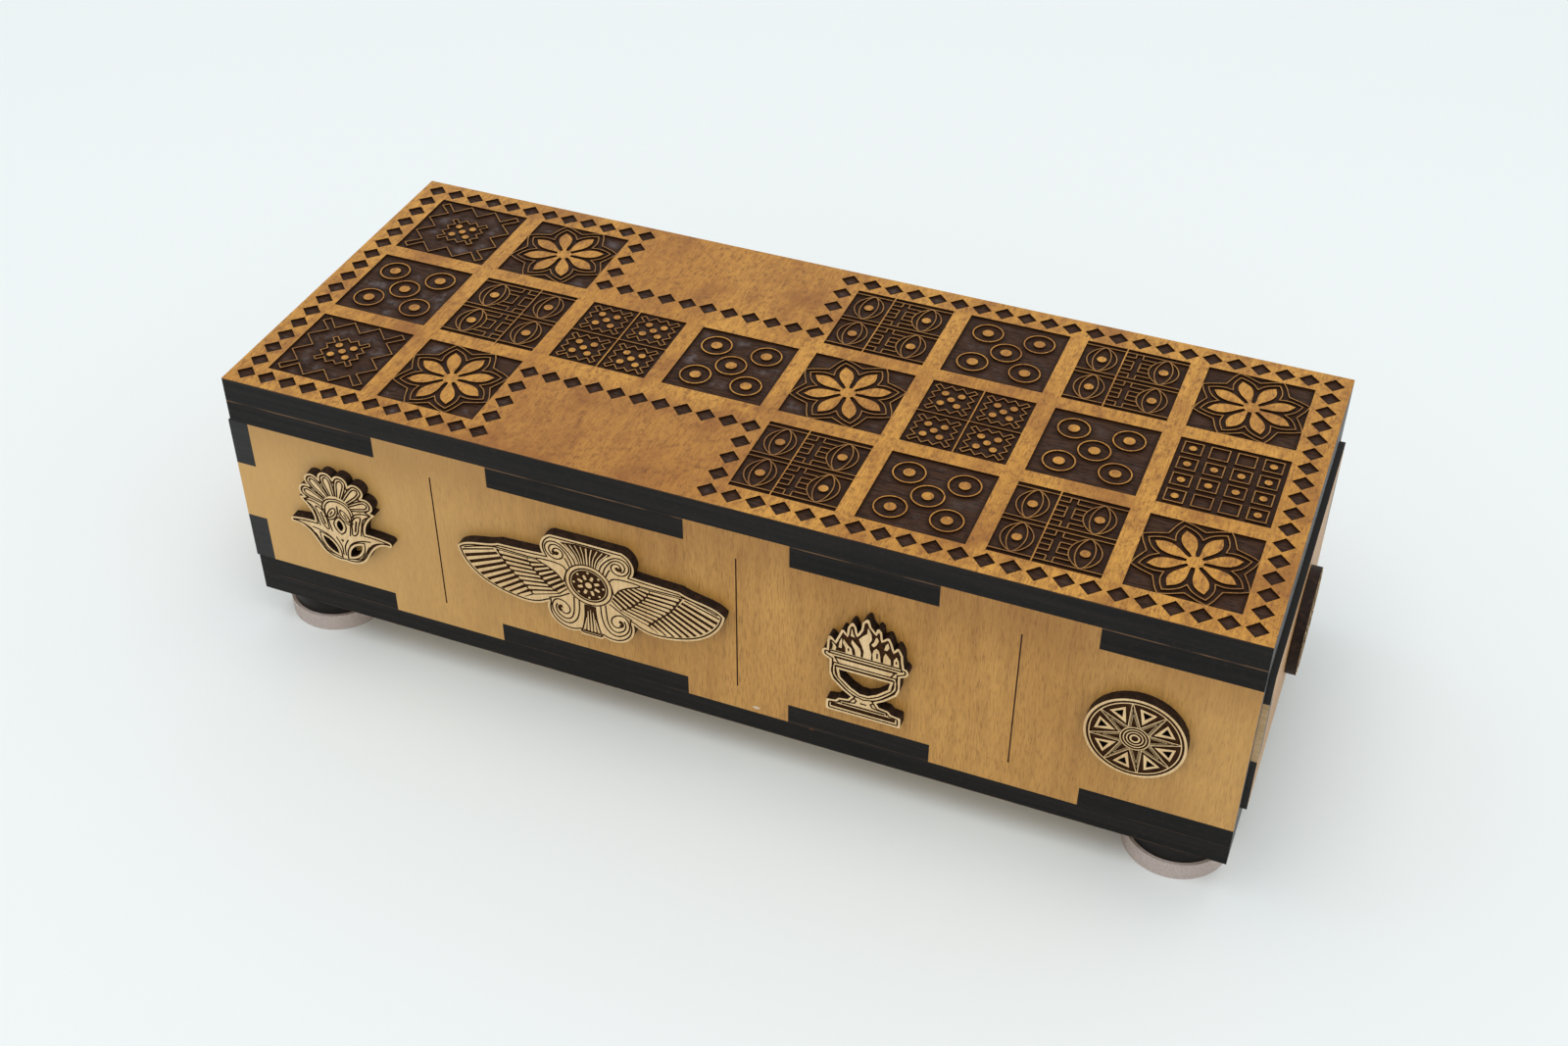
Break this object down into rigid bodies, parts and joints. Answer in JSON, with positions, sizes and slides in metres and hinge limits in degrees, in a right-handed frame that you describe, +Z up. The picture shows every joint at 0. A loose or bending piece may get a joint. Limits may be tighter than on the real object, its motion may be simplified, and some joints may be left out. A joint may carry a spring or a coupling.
{
  "type": "game box",
  "caption": "Long wooden game box: engraved board on a finger-jointed plywood case on round feet, with an end drawer for playing pieces and pyramid dice.",
  "frame": {"origin": "bottom centre of the whole part, on the surface that the four felt pads stand on", "axes": "+X along the box towards the drawer end, -Y the front with the ornaments, +Z up"},
  "size_m": [0.2852, 0.1182, 0.0851],
  "materials": {
    "stained_board": "honey-stained birch plywood, engraved dark, with burnt black cut edges",
    "birch_panel": "plain golden birch plywood with burnt cut edges",
    "burnt_layer": "plywood seen at its burnt black cut edge",
    "ornament_birch": "pale birch plywood, engraved brown, with burnt edges",
    "felt_pad": "grey-pink felt",
    "drawer_birch": "plain birch plywood with burnt cut edges",
    "dark_piece": "dark stained wood",
    "light_piece": "pale wood",
    "die_birch": "pale wood"
  },
  "bodies": {
    "case": {"board_top": "stained_board", "top_deck": "burnt_layer", "front_panel": "birch_panel", "back_panel": "birch_panel", "end_panel": "birch_panel", "floor_panel": "burnt_layer", "base_plate": "burnt_layer", "foot_disc_1": "burnt_layer", "foot_disc_2": "burnt_layer", "foot_disc_3": "burnt_layer", "foot_disc_4": "burnt_layer", "foot_pad_1": "felt_pad", "foot_pad_2": "felt_pad", "foot_pad_3": "felt_pad", "foot_pad_4": "felt_pad", "front_lotus": "ornament_birch", "front_winged_disc": "ornament_birch", "front_fire_altar": "ornament_birch", "front_star_disc": "ornament_birch", "back_lotus": "ornament_birch", "back_winged_disc": "ornament_birch", "back_fire_altar": "ornament_birch", "back_star_disc": "ornament_birch"},
    "drawer": {"drawer_front": "drawer_birch", "drawer_side_front": "drawer_birch", "drawer_side_back": "drawer_birch", "drawer_back": "drawer_birch", "drawer_bottom": "drawer_birch", "drawer_divider_1": "drawer_birch", "drawer_divider_2": "drawer_birch", "drawer_pull": "ornament_birch", "dark_piece_1": "dark_piece", "dark_piece_2": "dark_piece", "dark_piece_3": "dark_piece", "dark_piece_4": "dark_piece", "dark_piece_5": "dark_piece", "dark_piece_6": "dark_piece", "dark_piece_7": "dark_piece", "light_piece_1": "light_piece", "light_piece_2": "light_piece", "light_piece_3": "light_piece", "light_piece_4": "light_piece", "light_piece_5": "light_piece", "light_piece_6": "light_piece", "light_piece_7": "light_piece", "die_1": "die_birch", "die_2": "die_birch", "die_3": "die_birch", "die_4": "die_birch"}
  },
  "joints": [
    {"name": "drawer_slide", "type": "slide", "parent": "case", "child": "drawer", "axis": [1, 0, 0], "range_m": [0, 0.215]}
  ]
}
